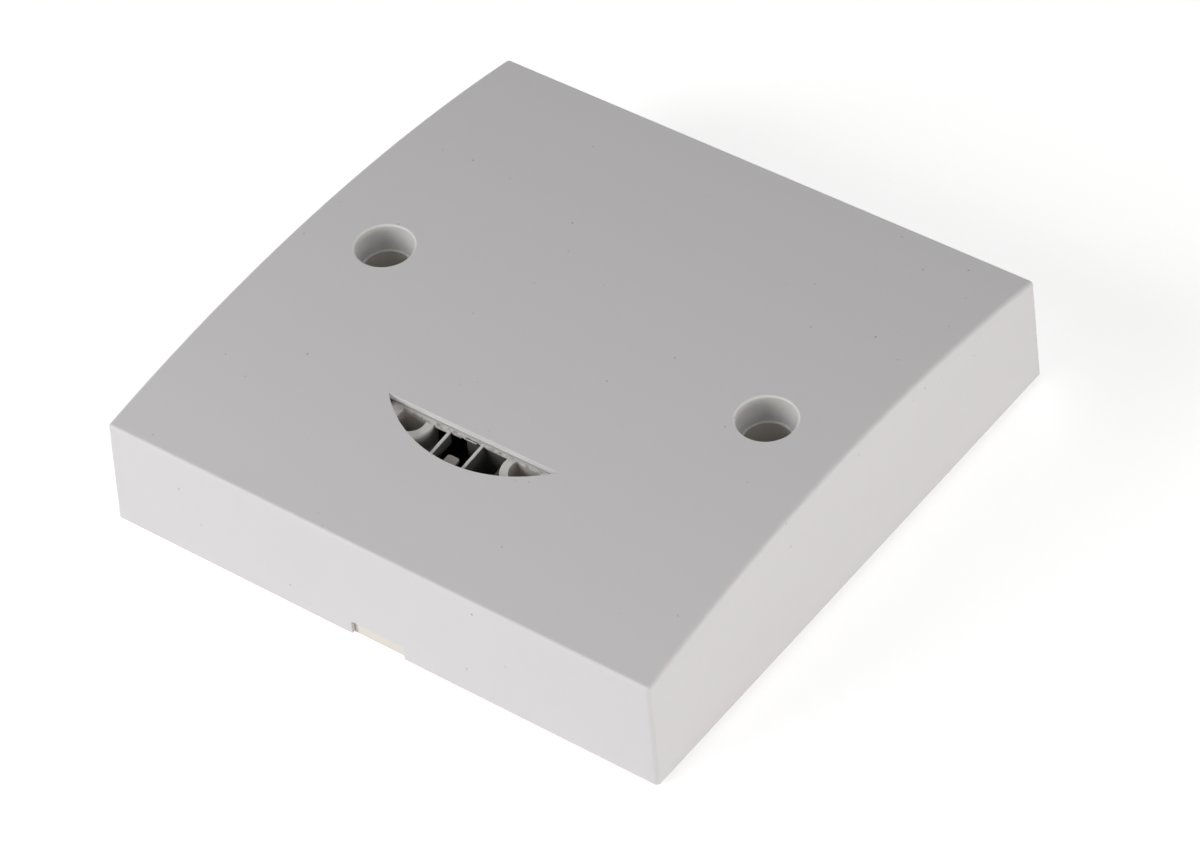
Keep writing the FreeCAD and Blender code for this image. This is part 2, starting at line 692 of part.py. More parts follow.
def adjuster_bezel():
    body = doc.addObject("PartDesign::Body", "adjuster_bezel")

    # Curved plate parallel to the crown, with its middle cut out
    plate = crown_band(body, "PlateLine", "0", "window_centre - window_radius - 2 * bezel_margin",
                       "window_chord + 2 * bezel_margin", "bezel_depth", "bezel_depth + bezel_wall")
    feature(body, "Pad", "Plate", plate, Length="2 * window_radius + 2 * bezel_margin", SideType="Symmetric")
    middle = sketch_on(body, "MiddleOutline", "XY_Plane", "shoulder_height / 2")
    bow = "window_centre - sqrt((window_radius - bezel_rim) ^ 2 - tube_x ^ 2)"
    step = "catch_centre - catch_width / 2 - catch_bar"
    outline(middle, [("-tube_x", bow), ("tube_x", bow), ("tube_x", "rim_line"), (step, "rim_line"),
                     (step, "rim_line - middle_ledge"), ("bar_left", "rim_line - middle_ledge"),
                     ("bar_left", "rim_line - left_ledge"), ("-tube_x", "rim_line - left_ledge")],
            {0: ("window_radius - bezel_rim", "0", "window_centre", 1)})
    feature(body, "Pocket", "MiddleOpening", middle, Length="crown_top", Reversed=True)

    # A driver tube at each end, two bars across the middle and a tongue on the curved side
    for side in "+-":
        tube = sketch_on(body, "TubeOutline", "XY_Plane", "trimmer_top")
        disc_below(tube, side + "tube_x", "tube_centre", "tube_radius", "rim_line + tube_back")
        feature(body, "Pad", "Tube", tube, Length="crown_top - trimmer_top")
    for name, place in (("LeftBar", "bar_left"), ("RightBar", "bar_right")):
        bar = crown_band(body, name + "Line", place, "window_centre - window_radius", "rim_line + bezel_rim",
                         "bezel_depth", "bar_depth")
        feature(body, "Pad", name, bar, Length="bar_wall", SideType="Symmetric")
    back, front = "window_centre - window_radius - bezel_rim", "window_centre - window_radius + bezel_rim"
    root = crown_band(body, "RootLine", "tab_centre", back, front,
                      "bezel_depth", "bezel_depth + tab_drop + bezel_wall")
    feature(body, "Pad", "TongueRoot", root, Length="tab_width", SideType="Symmetric")
    tongue = crown_band(body, "TongueLine", "tab_centre", back, "tab_end",
                        "bezel_depth + tab_drop", "bezel_depth + tab_drop + bezel_wall")
    reach = feature(body, "Pad", "Tongue", tongue, Length="tab_width", SideType="Symmetric")
    doc.recompute()
    corners = edges_where(reach, lambda edge: edge.BoundBox.ZLength > value("bezel_wall") / 2
                          and edge.BoundBox.YLength < NEAR
                          and abs(edge.CenterOfMass.y - value("tab_end")) < NEAR)
    dress(body, "Fillet", "TongueRound", reach, corners, "tab_round")

    # A catch on the straight rim: a fine bar in front of a slit
    nose = sketch_on(body, "CatchOutline", "XY_Plane", "shoulder_height / 2")
    rectangle(nose, "catch_centre - catch_width / 2 - catch_bar", "rim_line - catch_reach",
              "catch_width + 2 * catch_bar", "catch_reach + bezel_rim")
    feature(body, "Pad", "CatchNose", nose, Length="crown_top")
    crown_floor(body, "CatchFoot", "bezel_depth + catch_skin")

    # Above its shelf the piece keeps the crescent's outline, and its top follows the crown
    skin = sketch_on(body, "CrescentOutline", "XY_Plane", "bezel_shelf")
    rectangle(skin, "-2 * window_radius", "-plate_length", "4 * window_radius", "plate_length")
    disc_below(skin, "0", "window_centre", "window_radius + bezel_margin", "window_chord + bezel_margin")
    feature(body, "Pocket", "CrescentCut", skin, Length="crown_top", Reversed=True)
    crown_cut(body, "BezelTop", "bezel_depth")
    for side in "+-":
        bore = sketch_on(body, "BoreOutline", "XY_Plane")
        disc_below(bore, side + "tube_x", "tube_centre", "tube_bore", "rim_line")
        feature(body, "Pocket", "DriverBore", bore, Length="2 * crown_top", Reversed=True)
    slit = sketch_on(body, "SlitOutline", "XY_Plane")
    rectangle(slit, "catch_centre - catch_width / 2", "rim_line - catch_reach + catch_bar", "catch_width",
              "catch_gap")
    feature(body, "Pocket", "Slit", slit, Length="2 * crown_top", Reversed=True)
    return body


def light_shroud():
    """A dark box round the sensor, with a screen and two fins under the bezel's bars."""
    body = doc.addObject("PartDesign::Body", "light_shroud")
    rise = "crown_top - board_top"
    left = "bar_right - shroud_wall / 2"
    box_outline = sketch_on(body, "ShroudOutline", "XY_Plane", "board_top")
    rectangle(box_outline, left, "shroud_front", "shroud_right - (%s)" % left,
              "rim_line + shroud_wall - shroud_front")
    rectangle(box_outline, left + " + shroud_wall", "shroud_front + shroud_wall",
              "shroud_right - (%s) - 2 * shroud_wall" % left, "rim_line - shroud_front - shroud_wall")
    feature(body, "Pad", "ShroudBox", box_outline, Length=rise)
    screen = sketch_on(body, "ScreenOutline", "XY_Plane", "board_top")
    rectangle(screen, "shroud_inner", "rim_line", "%s - shroud_inner" % left, "shroud_wall")
    feature(body, "Pad", "Screen", screen, Length=rise)
    crown_cut(body, "ShroudTop", "bezel_depth + bezel_wall + shroud_gap")
    sill = sketch_on(body, "SillOutline", "XY_Plane", "fin_foot")
    rectangle(sill, "shroud_right - shroud_wall", "shroud_front - overrun", "shroud_wall + overrun",
              "rim_line - shroud_front + overrun")
    feature(body, "Pocket", "RightSill", sill, Length="crown_top", Reversed=True)

    # The left fin hangs on an arm that leaves the box along its front wall
    arm = sketch_on(body, "ArmOutline", "XY_Plane", "fin_foot")
    rectangle(arm, "bar_left - shroud_wall / 2", "shroud_front", "bar_right - bar_left", "shroud_wall")
    feature(body, "Pad", "Arm", arm, Length="arm_height")
    for name, place in (("LeftFin", "bar_left"), ("RightFin", "bar_right")):
        fin = sketch_on(body, name + "Outline", "XY_Plane", "fin_foot")
        rectangle(fin, place + " - shroud_wall / 2", "shroud_front + shroud_wall", "shroud_wall",
                  "rim_line - left_ledge - shroud_front - shroud_wall - shroud_gap")
        feature(body, "Pad", name, fin, Length="crown_top")
    crown_cut(body, "FinTop", "bar_depth + shroud_gap")
    return body


def trimmer(name, side):
    """A square adjuster body with a round pocket, built about its own axis."""
    body = doc.addObject("PartDesign::Body", name)
    block = sketch_on(body, "TrimmerOutline", "XY_Plane")
    rectangle(block, "-trimmer_side / 2", "-trimmer_side / 2", "trimmer_side", "trimmer_side")
    solid = feature(body, "Pad", "TrimmerBlock", block, Length="trimmer_height")
    doc.recompute()
    corners = edges_where(solid, lambda edge: edge.BoundBox.ZLength > value("trimmer_height") / 2)
    dress(body, "Chamfer", "TrimmerCorner", solid, corners, "trimmer_round")
    pocket = sketch_on(body, "PocketOutline", "XY_Plane", "trimmer_height")
    circle(pocket, "0", "0", "rotor_radius + rotor_clearance")
    feature(body, "Pocket", "RotorPocket", pocket, Length="rotor_depth")
    place(body, side + "tube_x", "axis_line", "board_top")
    return body


def rotor(name, side):
    """The turning piece of an adjuster, with a cross recess for a driver."""
    body = doc.addObject("PartDesign::Body", name)
    disc = sketch_on(body, "RotorOutline", "XY_Plane")
    circle(disc, "0", "0", "rotor_radius")
    rise = "rotor_depth - 2 * rotor_clearance"
    feature(body, "Pad", "RotorDisc", disc, Length=rise)
    for name, wide, deep in (("Slot", "rotor_slot_length", "rotor_slot"),
                             ("CrossSlot", "rotor_slot", "rotor_slot_length")):
        slot = sketch_on(body, name + "Outline", "XY_Plane", rise)
        rectangle(slot, "-%s / 2" % wide, "-%s / 2" % deep, wide, deep)
        feature(body, "Pocket", name, slot, Length="rotor_slot_depth")
    place(body, side + "tube_x", "axis_line", "trimmer_top - rotor_depth + rotor_clearance")
    return body


def place(item, x, y, z):
    bind(item, **{"Placement.Base.x": x, "Placement.Base.y": y, "Placement.Base.z": z})
    return item


def domed_lamp(name, x, y, radius, flange, stand, height):
    """A round-headed lamp or sensor on two leads, turned about its own axis."""
    body = doc.addObject("PartDesign::Body", name)
    side = sketch_on(body, "DomeProfile", "XZ_Plane")
    shoulder, crown = "%s + flange_height" % stand, "%s + %s" % (stand, height)
    top = "%s + dome_rise * %s" % (crown, radius)
    outline(side, [("0", stand), (flange, stand), (flange, shoulder), (radius, shoulder), (radius, crown),
                   ("dome_share * " + radius, top), ("0", top)])
    turned = body.newObject("PartDesign::Revolution", "Dome")
    turned.Profile = side
    turned.ReferenceAxis = (side, ["V_Axis"])
    turned.Angle = 360
    leads = sketch_on(body, "LeadOutline", "XY_Plane")
    for end in "+-":
        rectangle(leads, end + "(lead_pitch / 2) - lead_side / 2", "-lead_side / 2",
                  "lead_side", "lead_side")
    feature(body, "Pad", "Lead", leads, Length=stand)
    place(body, x, y, "board_top")
    return body


def terminal_block():
    """A moulded block: one wire chamber and one driver bore for each pole."""
    body = doc.addObject("PartDesign::Body", "terminal_block")
    block = sketch_on(body, "BlockOutline", "XY_Plane", "board_top")
    rectangle(block, "-(terminal_width) / 2", "terminal_y - terminal_length / 2", "terminal_width",
              "terminal_length")
    feature(body, "Pad", "Block", block, Length="terminal_height")
    mouth = sketch_on(body, "ChamberOutline", "XZ_Plane", "-terminal_y - terminal_length / 2")
    rectangle(mouth, "first_pole - chamber_width / 2", "chamber_base", "chamber_width", "chamber_height")
    chamber = feature(body, "Pocket", "Chamber", mouth, Length="chamber_length", Reversed=True)
    bore = sketch_on(body, "DriverOutline", "XY_Plane", "board_top + terminal_height")
    circle(bore, "first_pole", "clamp_y", "driver_bore")
    well = feature(body, "Pocket", "DriverWell", bore,
                   Length="terminal_height - chamber_floor - chamber_height / 2")
    doc.recompute()
    row = body.newObject("PartDesign::LinearPattern", "PoleRow")
    row.Originals = [chamber, well]
    row.Direction = (mouth, ["H_Axis"])
    bind(row, Length="(pole_count - 1) * pole_pitch", Occurrences="pole_count")
    body.Tip = row
    return body


def pole_x(number):
    return "(first_pole + %d * pole_pitch)" % number


def terminal_clamps():
    """Cage clamps, open along the wire, with a threaded roof."""
    cages = []
    for number in range(int(value("pole_count"))):
        left, front = pole_x(number) + " - clamp_width / 2", "clamp_y - clamp_length / 2"
        shell = box("ClampShell%d" % number, left, front, "chamber_base", "clamp_width", "clamp_length",
                    "clamp_height")
        hollow = box("ClampHollow%d" % number, left + " + clamp_wall", front + " - overrun",
                     "chamber_base + clamp_wall", "clamp_width - 2 * clamp_wall",
                     "clamp_length + 2 * overrun", "clamp_height - clamp_wall - clamp_roof")
        thread = cylinder("ClampThread%d" % number, pole_x(number), "clamp_y",
                          "chamber_base + clamp_height / 2", "clamp_screw + clamp_thread_gap",
                          "clamp_height")
        tools = combine("MultiFuse", "ClampTools%d" % number, hollow, thread)
        cages.append(combine("Cut", "Clamp%d" % number, shell, tools))
    return combine("Compound", "terminal_clamps", *cages)


def terminal_screws():
    """Headless screws through the clamps' roofs."""
    screws = []
    for number in range(int(value("pole_count"))):
        name, x, roof = "ClampScrew%d" % number, pole_x(number), "chamber_base + clamp_height"
        blank = cylinder(name + "Thread", x, "clamp_y", roof + " - clamp_roof - clamp_thread_end",
                         "clamp_screw", "clamp_roof + clamp_thread_end + clamp_screw_rise")
        screws.append(slotted(name, blank, x, "clamp_y", roof + " + clamp_screw_rise", "2 * clamp_screw"))
    return combine("Compound", "terminal_screws", *screws)


def microwave_board():
    return box("microwave_board", "-module_width / 2", "module_y - module_length / 2", "module_under",
               "module_width", "module_length", "module_thickness")


def antenna_patches():
    patches = [
        box("Patch%s%s" % (side, end), "%s(patch_pitch_x / 2) - patch_width / 2" % side,
            "module_y %s patch_pitch_y / 2 - patch_length / 2" % end, "module_top",
            "patch_width", "patch_length", "patch_thickness")
        for side in "+-" for end in "+-"
    ]
    return combine("Compound", "antenna_patches", *patches)


def shield_can():
    return box("shield_can", "-can_width / 2", "module_y - can_length / 2", "module_under - can_height",
               "can_width", "can_length", "can_height")


def module_pins():
    """Square pins along both long edges of the module, standing on the main board."""
    pins = []
    for number in range(int(value("pin_count"))):
        for end in "+-":
            left = "(%d - (pin_count - 1) / 2) * pin_pitch - pin_side / 2" % number
            front = "module_y %s (module_length / 2 - pin_inset) - pin_side / 2" % end
            pins.append(box("Pin%d%s" % (number, end), left, front, "board_top", "pin_side", "pin_side",
                            "module_lift"))
    return combine("Compound", "module_pins", *pins)


def moulded_block(name, prefix, bevel, legs="0"):
    """A moulded body with bevelled top edges. A chip also has a row of legs along each long side."""
    body = doc.addObject("PartDesign::Body", name)
    width, length, height = (prefix + end for end in ("_width", "_length", "_height"))
    lift = "chip_lift" if legs != "0" else "0"
    base = sketch_on(body, "CaseOutline", "XY_Plane", lift)
    rectangle(base, "-%s / 2" % width, "-%s / 2" % length, width, length)
    case = feature(body, "Pad", "Case", base, Length="%s - %s" % (height, lift))
    doc.recompute()
    top = value(height) - NEAR
    edges = edges_where(case, lambda edge: edge.BoundBox.ZMin > top)
    dress(body, "Chamfer", "TopBevel", case, edges, bevel)
    if legs != "0":
        row = sketch_on(body, "LegOutline", "XY_Plane")
        for number in range(int(value(legs))):
            left = "(%d - (%s - 1) / 2) * leg_pitch - leg_width / 2" % (number, legs)
            rectangle(row, left, "-%s / 2 - leg_reach" % length, "leg_width", "%s + 2 * leg_reach" % length)
        feature(body, "Pad", "Legs", row, Length="leg_height")
    return place(body, prefix + "_x", prefix + "_y", "board_top")


def turned(name, points, turn=None):
    """A piece of revolution: points pair a radius with a height along its own axis."""
    body = doc.addObject("PartDesign::Body", name)
    side = sketch_on(body, "TurnedProfile", "XZ_Plane")
    outline(side, points)
    spin = body.newObject("PartDesign::Revolution", "Turned")
    spin.Profile = side
    spin.ReferenceAxis = (side, ["V_Axis"])
    spin.Angle = 360
    if turn:
        body.Placement = FreeCAD.Placement(FreeCAD.Vector(), FreeCAD.Rotation(FreeCAD.Vector(*turn), 90))
    return body


def can_profile(prefix):
    """A sleeved can with a bevelled end."""
    radius, length = prefix + "_radius", prefix + "_length"
    return [("0", "0"), (radius, "0"), (radius, length + " - can_bevel"), (radius + " - can_bevel", length),
            ("0", length)]


def bulk_capacitor():
    can = turned("bulk_capacitor", can_profile("bulk"), turn=(0, 1, 0))
    return place(can, "bulk_x - bulk_length / 2", "bulk_y", "board_top + bulk_radius")


def output_capacitor():
    return place(turned("output_capacitor", can_profile("output")), "output_x", "output_y", "board_top")


def varistor():
    """A dipped disc that stands on its edge."""
    half = "varistor_thickness / 2"
    points = [("0", "-" + half), ("varistor_radius - varistor_bevel", "-" + half), ("varistor_radius", "0"),
              ("varistor_radius - varistor_bevel", half), ("0", half)]
    disc = turned("varistor", points, turn=(1, 0, 0))
    return place(disc, "varistor_x", "row_y", "board_top + varistor_radius")


def fuse():
    """A glass tube with a cap on each end, lying along X."""
    points = [("0", "0"), ("fuse_radius", "0"), ("fuse_radius", "fuse_cap"), ("fuse_glass", "fuse_cap"),
              ("fuse_glass", "fuse_length - fuse_cap"), ("fuse_radius", "fuse_length - fuse_cap"),
              ("fuse_radius", "fuse_length"), ("0", "fuse_length")]
    return place(turned("fuse", points, turn=(0, 1, 0)), "fuse_x - fuse_length / 2", "row_y",
                 "board_top + fuse_radius")


def choke():
    """A wound drum: two flanges with the winding between them."""
    upper = "choke_height - choke_flange"
    points = [("0", "0"), ("choke_radius", "0"), ("choke_radius", "choke_flange"),
              ("choke_waist", "choke_flange"), ("choke_waist", upper), ("choke_radius", upper),
              ("choke_radius", "choke_height"), ("0", "choke_height")]
    return place(turned("choke", points), "choke_x", "choke_y", "board_top")


def chip_resistors():
    chips = [
        box("Resistor%d" % number,
            "(%d - (resistor_count - 1) / 2) * resistor_pitch - resistor_width / 2" % number,
            "module_y - resistor_length / 2", "board_top",
            "resistor_width", "resistor_length", "resistor_height")
        for number in range(int(value("resistor_count")))
    ]
    return combine("Compound", "chip_resistors", *chips)


def build():
    pieces = [
        front_cover(), base_plate(), main_board(), board_screws(), adjuster_bezel(), light_shroud(),
        domed_lamp("indicator_led", "lamp_x", "lamp_y", "lamp_radius", "lamp_flange", "lamp_stand",
                   "lamp_body"),
        domed_lamp("light_sensor", "sensor_x", "sensor_y", "sensor_radius", "sensor_flange", "sensor_stand",
                   "sensor_body"),
        terminal_block(), terminal_clamps(), terminal_screws(),
        microwave_board(), antenna_patches(), shield_can(), module_pins(),
        moulded_block("relay", "relay", "relay_bevel"),
        moulded_block("film_capacitor", "film", "film_bevel"),
        moulded_block("controller_chip", "controller", "chip_bevel", "controller_legs"),
        moulded_block("bridge_rectifier", "bridge", "chip_bevel", "bridge_legs"),
        moulded_block("regulator_chip", "regulator", "chip_bevel", "regulator_legs"),
        bulk_capacitor(), output_capacitor(), varistor(), fuse(), choke(), chip_resistors(),
    ]
    for use, side in (("sensitivity", "-"), ("time", "+")):
        pieces.append(trimmer(use + "_trimmer", side))
        pieces.append(rotor(use + "_rotor", side))
    return pieces


def export(pieces):
    """Check every object of the document, then write one file for each piece."""
    doc.recompute()
    failed = [item.Name for item in doc.Objects if {"Invalid", "Error"} & set(item.State)]
    failed += [item.Label for item in pieces if item.Shape.isNull() or not item.Shape.isValid()]
    if failed:
        raise RuntimeError("These objects failed: " + ", ".join(failed))
    os.makedirs("parts", exist_ok=True)
    for item in pieces:
        item.Shape.exportStep(os.path.join("parts", item.Label + ".step"))
        print(item.Label, len(item.Shape.Solids), round(item.Shape.Volume, 1))


export(build())
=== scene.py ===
import bpy, math
from mathutils import Matrix, Vector


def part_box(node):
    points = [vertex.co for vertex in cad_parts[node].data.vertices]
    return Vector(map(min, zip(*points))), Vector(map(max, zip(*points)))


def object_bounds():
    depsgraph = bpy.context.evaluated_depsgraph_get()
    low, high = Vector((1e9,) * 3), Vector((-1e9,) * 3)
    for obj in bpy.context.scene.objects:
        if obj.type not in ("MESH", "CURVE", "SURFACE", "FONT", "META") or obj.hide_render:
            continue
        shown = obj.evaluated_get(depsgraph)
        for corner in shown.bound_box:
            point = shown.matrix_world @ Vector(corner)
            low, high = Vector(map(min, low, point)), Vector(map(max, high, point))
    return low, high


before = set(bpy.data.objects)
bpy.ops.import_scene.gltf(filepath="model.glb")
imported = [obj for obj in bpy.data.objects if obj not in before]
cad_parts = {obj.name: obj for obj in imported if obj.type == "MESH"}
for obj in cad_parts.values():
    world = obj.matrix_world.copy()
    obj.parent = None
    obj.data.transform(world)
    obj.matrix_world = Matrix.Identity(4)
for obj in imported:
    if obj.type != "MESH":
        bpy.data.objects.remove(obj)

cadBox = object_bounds()
print("frame loaded with", len(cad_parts), "nodes")

# The detector lies on its back: +X along the two screws, +Y up on the wall, +Z out of the front
scene = bpy.context.scene
scene.view_settings.view_transform = "Standard"


# Camera and lights

view = {
    "place": (0.295276, -0.347143, 0.442447),
    "looksAt": (0.006402, -0.003727, 0.0107),
    "rollDegrees": -5.4805,
    "lens": 147.138,
    "sensorWidth": 36.0,
    "nearClip": 0.01,
    "farClip": 20.0,
}


def addCamera(settings):
    data = bpy.data.cameras.new("photoCamera")
    data.lens = settings["lens"]
    data.sensor_width = settings["sensorWidth"]
    data.clip_start = settings["nearClip"]
    data.clip_end = settings["farClip"]
    camera = bpy.data.objects.new("photoCamera", data)
    scene.collection.objects.link(camera)
    place = Vector(settings["place"])
    aim = Vector(settings["looksAt"]) - place
    turn = aim.to_track_quat("-Z", "Y").to_matrix().to_4x4()
    roll = Matrix.Rotation(math.radians(settings["rollDegrees"]), 4, "Z")
    camera.matrix_world = Matrix.Translation(place) @ turn @ roll
    scene.camera = camera


addCamera(view)

whiteLight = (1.0, 1.0, 1.0)
warmLight = (1.02, 1.0, 0.975)
lamps = {
    "frontSkim": {"place": (-0.1, -1.1, 0.1), "size": (1.0, 0.18), "power": 1.2, "colour": whiteLight},
    "leftSkim": {"place": (-0.75, -0.8, 0.1), "size": (0.8, 0.18), "power": 0.7, "colour": whiteLight},
    "sideSkim": {"place": (1.1, 0.0, 0.1), "size": (1.0, 0.18), "power": 3.7, "colour": warmLight},
    "frontLeft": {"place": (-0.6, -0.9, 0.45), "size": (0.7, 0.6), "power": 8.3, "colour": (1.0, 1.0, 0.985)},
    "sideLow": {"place": (1.1, 0.05, 0.3), "size": (0.8, 0.5), "power": 3.7, "colour": warmLight},
    "rearHigh": {"place": (-0.25, 0.8, 0.8), "size": (0.7, 0.7), "power": 2.3, "colour": whiteLight},
}
lampTarget = Vector((0, 0, 0.01))


def addLamp(name, settings):
    data = bpy.data.lights.new(name, "AREA")
    data.shape = "RECTANGLE"
    data.size, data.size_y = settings["size"]
    data.energy = settings["power"]
    data.color = settings["colour"]
    lamp = bpy.data.objects.new(name, data)
    scene.collection.objects.link(lamp)
    place = Vector(settings["place"])
    turn = (lampTarget - place).to_track_quat("-Z", "Y").to_matrix().to_4x4()
    lamp.matrix_world = Matrix.Translation(place) @ turn


for name, settings in lamps.items():
    addLamp(name, settings)


# Nodes and groups

def addNode(tree, kind, x, y, values=None, **options):
    node = tree.nodes.new("ShaderNode" + kind)
    node.location = (x, y)
    for name, value in options.items():
        setattr(node, name, value)
    for name, value in (values or {}).items():
        node.inputs[name].default_value = value
    return node


def addMath(tree, x, y, operation, first, second=None, third=None):
    node = addNode(tree, "Math", x, y, operation=operation)
    for index, value in enumerate((first, second, third)):
        if value is None:
            continue
        if isinstance(value, (int, float)):
            node.inputs[index].default_value = value
        else:
            tree.links.new(value, node.inputs[index])
    return node.outputs[0]


def addLength(tree, x, y, first, second):
    # The length of the diagonal of two sides
    secondSquared = addMath(tree, x, y - 150, "MULTIPLY", second, second)
    square = addMath(tree, x + 150, y, "MULTIPLY_ADD", first, first, secondSquared)
    return addMath(tree, x + 300, y, "SQRT", square)


def addMix(tree, x, y, factor, first, second):
    node = addNode(tree, "Mix", x, y, data_type="RGBA")
    for socket, value in ((node.inputs[0], factor), (node.inputs[6], first), (node.inputs[7], second)):
        if isinstance(value, (int, float, tuple)):
            socket.default_value = value
        else:
            tree.links.new(value, socket)
    return node.outputs[2]


def addRange(tree, x, y, value, low, high, outLow=0.0, outHigh=1.0):
    limits = {"From Min": low, "From Max": high, "To Min": outLow, "To Max": outHigh}
    node = addNode(tree, "MapRange", x, y, limits)
    tree.links.new(value, node.inputs["Value"])
    return node.outputs["Result"]


def newGroup(name, inputs, outputs):
    tree = bpy.data.node_groups.new(name, "ShaderNodeTree")
    for label, kind, value in inputs:
        socket = tree.interface.new_socket(label, in_out="INPUT", socket_type="NodeSocket" + kind)
        socket.default_value = value
    for label, kind in outputs:
        tree.interface.new_socket(label, in_out="OUTPUT", socket_type="NodeSocket" + kind)
    start = tree.nodes.new("NodeGroupInput")
    start.location = (-900, 0)
    end = tree.nodes.new("NodeGroupOutput")
    end.location = (900, 0)
    return tree, start.outputs, end.inputs


grainHeight = 0.00003
trackHeight = 0.00004
bandSoft = 0.00005


def makeMouldedSurface():
    # Moulded plastic: a slow drift of tone, a fine spark-eroded grain and a few dark specks
    tree, given, out = newGroup(
        "mouldedSurface",
        [("Colour", "Color", (0.8, 0.8, 0.8, 1)), ("Drift", "Float", 0.03), ("Drift Scale", "Float", 40.0),
         ("Speck Colour", "Color", (0.2, 0.19, 0.18, 1)), ("Speck Share", "Float", 0.1),
         ("Speck Size", "Float", 0.1), ("Speck Scale", "Float", 830.0), ("Gloss", "Float", 0.5),
         ("Gloss Drift", "Float", 0.08), ("Grain Scale", "Float", 4000.0), ("Grain Depth", "Float", 0.15)],
        [("Colour", "Color"), ("Roughness", "Float"), ("Normal", "Vector")])
    link = tree.links.new
    place = addNode(tree, "TexCoord", -900, -400).outputs["Object"]
    slow = addNode(tree, "TexNoise", -650, 300, {"Detail": 3.0, "Roughness": 0.55})
    fine = addNode(tree, "TexNoise", -650, -300, {"Detail": 4.0, "Roughness": 0.6})
    spots = addNode(tree, "TexVoronoi", -650, 0)
    for node, label in ((slow, "Drift Scale"), (fine, "Grain Scale"), (spots, "Speck Scale")):
        link(place, node.inputs["Vector"])
        link(given[label], node.inputs["Scale"])
    drift = addMath(tree, -400, 300, "SUBTRACT", slow.outputs["Fac"], 0.5)
    tone = addMath(tree, -200, 300, "MULTIPLY_ADD", drift, given["Drift"], 1.0)
    toned = addNode(tree, "VectorMath", 0, 300, operation="SCALE")
    link(given["Colour"], toned.inputs[0])
    link(tone, toned.inputs["Scale"])
    # A speck fades out from its middle, and some are fainter than others
    near = addMath(tree, -400, 0, "DIVIDE", spots.outputs["Distance"], given["Speck Size"])
    near = addMath(tree, -250, 0, "SUBTRACT", 1.0, near)
    near.node.use_clamp = True
    chance = addNode(tree, "SeparateColor", -400, -120)
    link(spots.outputs["Color"], chance.inputs[0])
    chosen = addMath(tree, -200, -120, "LESS_THAN", chance.outputs[0], given["Speck Share"])
    chosen = addMath(tree, -50, -120, "MULTIPLY", chosen, chance.outputs[1])
    speck = addMath(tree, 0, 0, "MULTIPLY", near, chosen)
    link(addMix(tree, 250, 200, speck, toned.outputs[0], given["Speck Colour"]), out["Colour"])
    sheen = addMath(tree, 0, -150, "MULTIPLY_ADD", drift, given["Gloss Drift"], given["Gloss"])
    link(sheen, out["Roughness"])
    bump = addNode(tree, "Bump", 250, -250, {"Distance": grainHeight})
    link(given["Grain Depth"], bump.inputs["Strength"])
    link(fine.outputs["Fac"], bump.inputs["Height"])
    link(bump.outputs["Normal"], out["Normal"])
    return tree


cloudLimits = (0.42, 0.68)
tarnishDulls = 0.25


def makeMetalSurface():
    # Plated or drawn metal: fine streaks along one way, cloudy tarnish and a soft ripple
    tree, given, out = newGroup(
        "metalSurface",
        [("Colour", "Color", (0.7, 0.7, 0.72, 1)), ("Tarnish", "Color", (0.4, 0.38, 0.35, 1)),
         ("Tarnish Share", "Float", 0.3), ("Tarnish Scale", "Float", 300.0),
         ("Streaks", "Vector", (300, 6000, 300)), ("Streak Depth", "Float", 0.15),
         ("Gloss", "Float", 0.3), ("Gloss Drift", "Float", 0.2)],
        [("Colour", "Color"), ("Roughness", "Float"), ("Normal", "Vector")])
    link = tree.links.new
    place = addNode(tree, "TexCoord", -900, -400).outputs["Object"]
    stretched = addNode(tree, "VectorMath", -650, -300, operation="MULTIPLY")
    link(place, stretched.inputs[0])
    link(given["Streaks"], stretched.inputs[1])
    streak = addNode(tree, "TexNoise", -450, -300, {"Scale": 1.0, "Detail": 3.0})
    link(stretched.outputs[0], streak.inputs["Vector"])
    cloud = addNode(tree, "TexNoise", -650, 100, {"Detail": 4.0, "Roughness": 0.6})
    link(place, cloud.inputs["Vector"])
    link(given["Tarnish Scale"], cloud.inputs["Scale"])
    patch = addRange(tree, -400, 100, cloud.outputs["Fac"], *cloudLimits)
    share = addMath(tree, -200, 100, "MULTIPLY", patch, given["Tarnish Share"])
    link(addMix(tree, 100, 200, share, given["Colour"], given["Tarnish"]), out["Colour"])
    centred = addMath(tree, -200, -100, "SUBTRACT", streak.outputs["Fac"], 0.5)
    sheen = addMath(tree, 0, -100, "MULTIPLY_ADD", centred, given["Gloss Drift"], given["Gloss"])
    link(addMath(tree, 250, -100, "MULTIPLY_ADD", share, tarnishDulls, sheen), out["Roughness"])
    bump = addNode(tree, "Bump", 250, -300, {"Distance": grainHeight})
    link(given["Streak Depth"], bump.inputs["Strength"])
    link(streak.outputs["Fac"], bump.inputs["Height"])
    link(bump.outputs["Normal"], out["Normal"])
    return tree


trackPitch = 0.16
trackLimits = (0.075, 0.09)
lacquerCloud = 0.15


